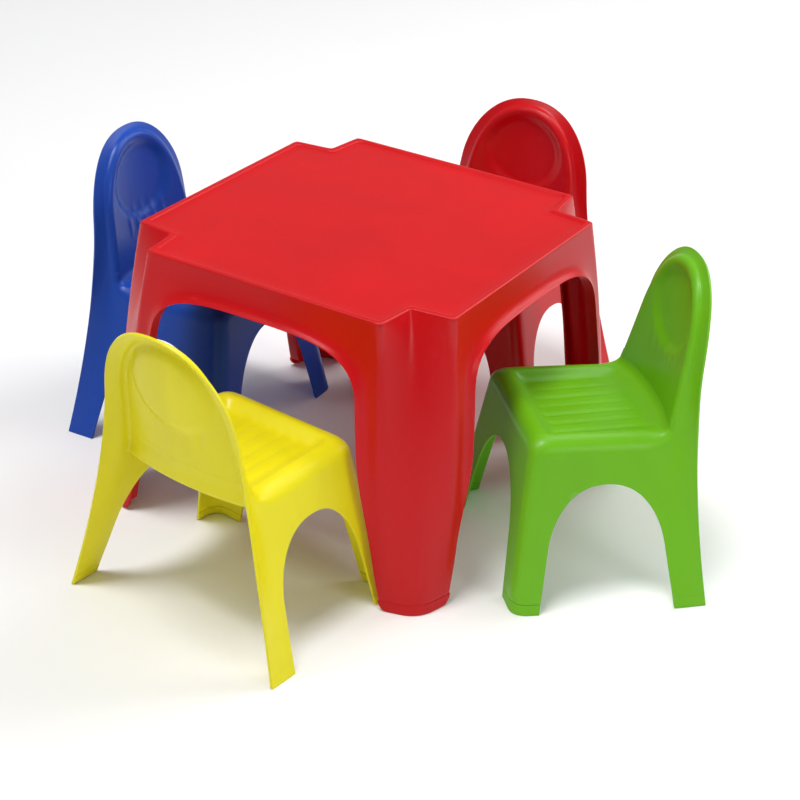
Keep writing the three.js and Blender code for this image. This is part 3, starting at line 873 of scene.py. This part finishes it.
    def gusset_line(self, start):
        """Across the side wall from the end of the seat's level edge, rearwards and down to the rim."""
        shape = self.shape
        z = start[1] - self.gusset_fall
        end = (shape.rim_run(z), z)
        return [blend_points(start, end, k / self.flange_count) for k in range(self.flange_count + 1)]

    def gusset(self, bm):
        """The corner of the side wall where the seat's edge rises into the back."""
        shape, rows, columns = self.shape, self.fillet_count, self.flange_count
        first = len(self.side_keys) - 1 - rows
        rising = self.seat_sides[first:]
        left = [self.edge_run(key, column) for key, column in zip(self.side_keys[first:], rising)]
        bottom = self.gusset_line(left[0])
        heights = [mix(bottom[-1][1], shape.join_z, j / rows) for j in range(rows + 1)]
        right = [(shape.rim_run(z), z) for z in heights]
        upper = [self.flange_point(0, i) for i in range(columns + 1)]
        top = [(shape.side_run(y, z), z) for x, y, z in upper]

        def place(i, j):
            if i == 0:
                return rising[j][-1]
            if j == rows:
                return upper[i]
            if i == columns:
                return shape.flange_half(heights[j]), shape.rim_y(heights[j]), heights[j]
            if j == 0:
                return shape.side_point(*bottom[i])
            return shape.side_point(*coons(bottom, top, left, right, i, j))

        sheet(bm, columns, rows, place)

    def front_wall(self, bm):
        """The front from its arch out to the corner and up to the seat's edge."""
        shape = self.shape
        low, top, runs, outer = self.corner_line(shape.front_point)
        leg, crown = split_at_shoulder(shape.front_arch.path(low))
        arch = spread(leg, self.leg_count) + spread(crown, self.front_count)[1:]
        inner = [(shape.front_run(x, z), z) for x, z in arch]
        for key, column in zip(self.front_keys, self.seat_fronts):
            outer.append(column[-1])
            runs.append((shape.arc_width * key if key <= 1 else shape.front_run(column[-1][0], top), top))
        self.fan(bm, inner, runs, outer, shape.front_point)

    def apron(self, bm):
        """The back runs on down behind the seat as a short strip between the rear legs."""
        shape, rows, columns = self.shape, self.apron_rows, self.apron_columns

        def place(i, j):
            z = mix(self.apron_low, shape.join_z + self.apron_lap, j / rows)
            half = shape.panel_half(z)
            x = (2 * i / columns - 1) * (half - self.apron_inset)
            over = clamp((abs(x) - half) / shape.back_edge + 1)
            behind = self.apron_tuck + self.apron_edge_tuck * over ** 2
            behind += shape.back_edge * (1 - math.sqrt(1 - over ** 2))
            return x, shape.back_y(x, z) - behind, z

        turn_towards(bm, sheet(bm, columns, rows, place), Vector((0, 1, 0)))

    def on_seat(self, face):
        """The seat's middle faces up. Other faces have no say in which way the skin is turned."""
        middle = face.calc_center_median()
        if abs(middle.x) < 80 and abs(middle.y) < 60 and abs(middle.z - self.shape.seat) < 20:
            return face.normal.z > 0
        return None

    def build(self):
        bm = bmesh.new()
        self.seat_top(bm)
        self.rounded_edge(bm)
        self.back_panel(bm)
        self.flange(bm)
        self.side_wall(bm)
        self.gusset(bm)
        self.front_wall(bm)
        weld(bm, self.stitch)
        add_copy(bm, Matrix.Scale(-1, 4, (1, 0, 0)))
        weld(bm, self.stitch)
        face_outwards(bm, self.on_seat)
        self.apron(bm)
        return bm


def build_chair_pad(shape, corner):
    """One foot pad: the leg's outline carried down to the floor."""
    bm = bmesh.new()
    levels, columns = pad_levels(shape.pad_height), 28
    is_front = corner.startswith("front")

    def leg_point(z, share):
        half = shape.side_arch.half(z)
        if not is_front:
            start = shape.side_run(shape.arch_middle - half, z)
            return shape.side_point(mix(start, shape.rim_run(z), share), z)
        side = shape.side_run(shape.arch_middle + half, z)
        along = mix(-side, shape.front_run(shape.front_arch.half(z), z), share)
        return shape.side_point(-along, z) if along < 0 else shape.front_point(along, z)

    def place(i, j):
        z = levels[j]
        x, y, _ = leg_point(z, i / columns)
        out = pad_proud(z, 0.2, 1.0)
        return x + out, y + (out if is_front else 0.0), z

    sheet(bm, columns, len(levels) - 1, place)
    side = 1 if corner.endswith("right") else -1
    bmesh.ops.transform(bm, matrix=Matrix.Diagonal((side, 1, 1, 1)), verts=bm.verts)
    face_outwards(bm, lambda face: face.normal.x * side > 0)
    return bm


def chair_placing(name, shape):
    """Where a chair stands: its turn from its own slide, its place from its moulding's box."""
    joint = next(j for j in frame["joints"] if j["child"] == f"{name}_chair")
    back = Vector(joint["axis"]).normalized()
    turn = math.atan2(back.x, -back.y)
    spin = Matrix.Rotation(turn, 4, "Z")
    local = [spin.inverted() @ v.co for v in frame["nodes"][f"{name}_chair_shell"].data.vertices]
    across = (min(v.x for v in local) + max(v.x for v in local)) / 2
    behind = min(v.y for v in local) - shape.flange_y(shape.height) * MM
    return Matrix.Translation(spin @ Vector((across, behind, 0.0))) @ spin


# ------------------------------------------------------------------ finishes
class Wire:
    """A node's output that can be used in sums."""

    def __init__(self, finish, socket):
        self.finish, self.socket = finish, socket

    def _maths(self, operation, *values):
        return self.finish.node("ShaderNodeMath", {"operation": operation}, dict(enumerate(values)))

    def __add__(self, other):
        return self._maths("ADD", self, other)

    __radd__ = __add__

    def __mul__(self, other):
        return self._maths("MULTIPLY", self, other)

    __rmul__ = __mul__

    def __sub__(self, other):
        return self._maths("SUBTRACT", self, other)

    def __rsub__(self, other):
        return self._maths("SUBTRACT", other, self)


class Finish:
    """A material under construction."""

    def __init__(self, name):
        self.material = bpy.data.materials.new(name)
        self.material.use_nodes = True
        self.tree = self.material.node_tree
        self.tree.nodes.clear()

    def node(self, kind, settings=None, inputs=None, output=0):
        made = self.tree.nodes.new(kind)
        for key, value in (settings or {}).items():
            if key == "stops":
                ramp = made.color_ramp
                for index, (position, shade) in enumerate(value):
                    stop = ramp.elements[index] if index < 2 else ramp.elements.new(position)
                    stop.position = position
                    stop.color = (shade, shade, shade, 1.0)
            else:
                setattr(made, key, value)
        for key, value in (inputs or {}).items():
            if isinstance(value, Wire):
                self.tree.links.new(value.socket, made.inputs[key])
            else:
                made.inputs[key].default_value = value
        return Wire(self, made.outputs[output]) if made.outputs else None

    def place(self, scale=(1.0, 1.0, 1.0)):
        where = self.node("ShaderNodeTexCoord", output=3)
        return self.node("ShaderNodeMapping", None, {"Vector": where, "Scale": scale})

    def noise(self, where, scale, detail=3.0, roughness=0.5, distortion=0.0):
        sockets = {"Vector": where, "Scale": scale, "Detail": detail}
        sockets |= {"Roughness": roughness, "Distortion": distortion}
        return self.node("ShaderNodeTexNoise", None, sockets)

    def mask(self, value, low, high):
        """0 where a value is low, 1 where it is high."""
        return self.node("ShaderNodeValToRGB", {"stops": [(low, 0.0), (high, 1.0)]}, {"Fac": value})

    def blend(self, factor, first, second):
        colours = [c if isinstance(c, Wire) else tuple(c) + (1.0,) for c in (first, second)]
        sockets = {"Factor": factor, 6: colours[0], 7: colours[1]}
        return self.node("ShaderNodeMix", {"data_type": "RGBA"}, sockets, output=2)

    def surface(self, sockets):
        shader = self.node("ShaderNodeBsdfPrincipled", None, sockets)
        self.node("ShaderNodeOutputMaterial", None, {"Surface": shader})
        return self.material


def moulded_plastic(name, colour, base_roughness, grain):
    """Injection-moulded plastic: faint flow marks, fine grain, scuffs and paler handled edges."""
    finish = Finish(name)
    where = finish.place()
    cloud = finish.noise(finish.place((1.0, 1.0, 0.35)), 7.0, 4.0, roughness=0.55, distortion=0.6)
    flow = finish.node("ShaderNodeMapRange", None, {"Value": cloud, "From Min": 0.3, "From Max": 0.7})
    fine = finish.noise(where, 900.0, 2.0, roughness=0.6)
    hair = finish.noise(finish.place((22.0, 260.0, 60.0)), 2.0, 5.0, roughness=0.7, distortion=0.3)
    wear = finish.mask(hair, 0.60, 0.66) * finish.mask(finish.noise(where, 11.0), 0.48, 0.62)
    edge = finish.mask(finish.node("ShaderNodeNewGeometry", output=7), 0.515, 0.60)
    deep = tuple(channel * 0.94 for channel in colour)
    plain = tuple(min(1.0, channel * 1.06) for channel in colour)
    worn = tuple(mix(channel, 0.85, 0.16) for channel in colour)
    height = fine * grain + cloud * 0.9 - wear * 0.05
    bump = {"Strength": 0.22, "Distance": 0.0006, "Height": height}
    return finish.surface({
        "Base Color": finish.blend(edge * 0.25 + wear * 0.12, finish.blend(flow, deep, plain), worn),
        "Roughness": base_roughness + flow * 0.05 + wear * 0.16 + fine * 0.04,
        "Normal": finish.node("ShaderNodeBump", None, bump),
        "IOR": 1.49,
        "Specular IOR Level": 0.29,
    })


def gloss(name, colour):
    return moulded_plastic(f"{name} gloss plastic", colour, base_roughness=0.27, grain=0.35)


def satin(name, colour):
    return moulded_plastic(f"{name} pad satin plastic", colour, base_roughness=0.42, grain=0.6)


# ------------------------------------------------------------------ operators
class FURNITURE_OT_table(bpy.types.Operator):
    """Build the table's moulding"""

    bl_idname = "furniture.table"
    bl_label = "Table"

    def execute(self, context):
        shape = TableShape(context.scene.table_sizes)
        finish_piece(
            build_table(shape), "table_moulding", table_placing(), "table", "table_shell",
            gloss("table", context.scene.colours.table), shape.wall * SKIN_SHARE, SKIN_BEVEL,
        )
        return {"FINISHED"}


class FURNITURE_OT_table_pads(bpy.types.Operator):
    """Build the table's four foot pads"""

    bl_idname = "furniture.table_pads"
    bl_label = "Table foot pads"

    def execute(self, context):
        shape = TableShape(context.scene.table_sizes)
        plastic = satin("table", context.scene.colours.table)
        for corner in PLACES:
            side = 1 if corner.endswith("right") else -1
            end = -1 if corner.startswith("front") else 1
            finish_piece(
                build_table_pad(shape, side, end), f"table_pad_{corner}", table_placing(), "table",
                f"table_foot_{corner}", plastic, TABLE_PAD_WALL, TABLE_PAD_BEVEL,
            )
        return {"FINISHED"}


class FURNITURE_OT_chairs(bpy.types.Operator):
    """Build the four chairs' mouldings"""

    bl_idname = "furniture.chairs"
    bl_label = "Chairs"

    def execute(self, context):
        shape = ChairShape(context.scene.chair_sizes)
        for name in CHAIRS:
            chair = f"{name}_chair"
            finish_piece(
                ChairSkin(shape).build(), f"{chair}_moulding", chair_placing(name, shape), chair,
                f"{chair}_shell", gloss(name, getattr(context.scene.colours, name)),
                shape.wall * SKIN_SHARE, SKIN_BEVEL,
            )
        return {"FINISHED"}


class FURNITURE_OT_chair_pads(bpy.types.Operator):
    """Build the chairs' sixteen foot pads"""

    bl_idname = "furniture.chair_pads"
    bl_label = "Chair foot pads"

    def execute(self, context):
        shape = ChairShape(context.scene.chair_sizes)
        for name in CHAIRS:
            chair = f"{name}_chair"
            plastic = satin(name, getattr(context.scene.colours, name))
            for corner in PLACES:
                finish_piece(
                    build_chair_pad(shape, corner), f"{chair}_pad_{corner}", chair_placing(name, shape),
                    chair, f"{chair}_foot_{corner}", plastic, CHAIR_PAD_WALL, CHAIR_PAD_BEVEL,
                )
        return {"FINISHED"}


class FURNITURE_OT_stage(bpy.types.Operator):
    """Lay the floor, hang the lights and set the camera"""

    bl_idname = "furniture.stage"
    bl_label = "Stage"

    # name, place from the middle of the table's foot, height of the point it faces, size, watts
    lamps = (
        ("key", (-0.7, -1.3, 2.7), 0.0, 0.8, 14),
        ("overhead", (0.5, 1.0, 2.4), 0.0, 1.2, 14),
        ("back panel", (1.9, 3.0, 2.5), 0.0, 2.4, 60),
        ("side", (2.4, -0.6, 1.3), 0.2, 0.8, 9),
    )
    sun_strength, sun_softness, sun_fall = 1.5, 18, (0.10, 0.16, -1.0)
    sky_strength = 0.31
    floor_reach = 30.0
    lens, shift = 89.6, (0.015, -0.0025)
    yaw, pitch, roll = -32.06, 28.93, 1.82
    view_aim, view_distance = (0.0913, -0.0736, 0.200), 3.0057

    def execute(self, context):
        scene = context.scene
        scene.view_settings.view_transform = "Standard"
        self.floor(scene)
        world = bpy.data.worlds.new("soft studio")
        world.use_nodes = True
        sky = world.node_tree.nodes["Background"]
        sky.inputs["Color"].default_value = (1.0, 1.0, 1.0, 1.0)
        sky.inputs["Strength"].default_value = self.sky_strength
        scene.world = world
        middle = table_placing().translation
        for name, offset, aim, size, power in self.lamps:
            light = bpy.data.lights.new(name, "AREA")
            light.size = size
            light.energy = power
            lamp = self.hang(scene, light, Vector((0, 0, aim)) - Vector(offset))
            lamp.location = middle + Vector(offset)
        daylight = bpy.data.lights.new("daylight", "SUN")
        daylight.energy = self.sun_strength
        daylight.angle = math.radians(self.sun_softness)
        self.hang(scene, daylight, Vector(self.sun_fall))
        self.camera(scene, middle)
        return {"FINISHED"}

    def hang(self, scene, light, direction):
        lamp = bpy.data.objects.new(light.name, light)
        lamp.rotation_euler = direction.to_track_quat("-Z", "Y").to_euler()
        scene.collection.objects.link(lamp)
        return lamp

    def floor(self, scene):
        bm = bmesh.new()
        bmesh.ops.create_grid(bm, x_segments=1, y_segments=1, size=self.floor_reach)
        mesh = bpy.data.meshes.new("floor")
        bm.to_mesh(mesh)
        bm.free()
        floor = bpy.data.objects.new("floor", mesh)
        scene.collection.objects.link(floor)
        finish = Finish("pale floor")
        tone = tuple(scene.colours.floor)
        shaded = tuple(channel * 0.985 for channel in tone)
        cloud = finish.noise(finish.place(), 3.0)
        colour = finish.blend(cloud, shaded, tone)
        mesh.materials.append(
            finish.surface({"Base Color": colour, "Roughness": 0.6, "Specular IOR Level": 0.2})
        )
        floor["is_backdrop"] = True

    def camera(self, scene, middle):
        data = bpy.data.cameras.new("view")
        data.lens = self.lens
        data.shift_x, data.shift_y = self.shift
        yaw, pitch, roll = (math.radians(angle) for angle in (self.yaw, self.pitch, self.roll))
        level = Vector((math.cos(yaw), -math.sin(yaw), 0.0))
        ahead = Vector((math.sin(yaw), math.cos(yaw), 0.0)) * math.cos(pitch)
        ahead.z = -math.sin(pitch)
        upright = level.cross(ahead)
        right = level * math.cos(roll) + upright * math.sin(roll)
        up = upright * math.cos(roll) - level * math.sin(roll)
        place = middle + Vector(self.view_aim) - ahead * self.view_distance
        view = bpy.data.objects.new("view", data)
        turned = Matrix((right, up, -ahead)).transposed().to_4x4()
        view.matrix_world = Matrix.Translation(place) @ turned
        scene.collection.objects.link(view)
        scene.camera = view


class FURNITURE_PT_panel(bpy.types.Panel):
    """Lists the furniture's sizes, colours and build steps"""

    bl_idname = "FURNITURE_PT_panel"
    bl_label = "Moulded furniture"
    bl_space_type = "VIEW_3D"
    bl_region_type = "UI"
    bl_category = "Furniture"

    def draw(self, context):
        for group in (context.scene.table_sizes, context.scene.chair_sizes, context.scene.colours):
            box = self.layout.box()
            for name in group.__annotations__:
                box.prop(group, name)
        for step in STEPS:
            self.layout.operator(step.bl_idname)


STEPS = (
    FURNITURE_OT_stage,
    FURNITURE_OT_table,
    FURNITURE_OT_table_pads,
    FURNITURE_OT_chairs,
    FURNITURE_OT_chair_pads,
)
CLASSES = (TableSizes, ChairSizes, Colours) + STEPS + (FURNITURE_PT_panel,)


def register():
    for cls in CLASSES:
        bpy.utils.register_class(cls)
    bpy.types.Scene.table_sizes = PointerProperty(type=TableSizes)
    bpy.types.Scene.chair_sizes = PointerProperty(type=ChairSizes)
    bpy.types.Scene.colours = PointerProperty(type=Colours)


def unregister():
    del bpy.types.Scene.colours
    del bpy.types.Scene.chair_sizes
    del bpy.types.Scene.table_sizes
    for cls in reversed(CLASSES):
        bpy.utils.unregister_class(cls)


def plain(box):
    return [[float(value) for value in corner] for corner in box]


def main():
    register()
    bpy.ops.furniture.stage()
    bpy.ops.furniture.table()
    bpy.ops.furniture.table_pads()
    bpy.ops.furniture.chairs()
    bpy.ops.furniture.chair_pads()
    {"cad": plain(cad_box), "visual": plain(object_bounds())}


if __name__ == "__main__":
    main()
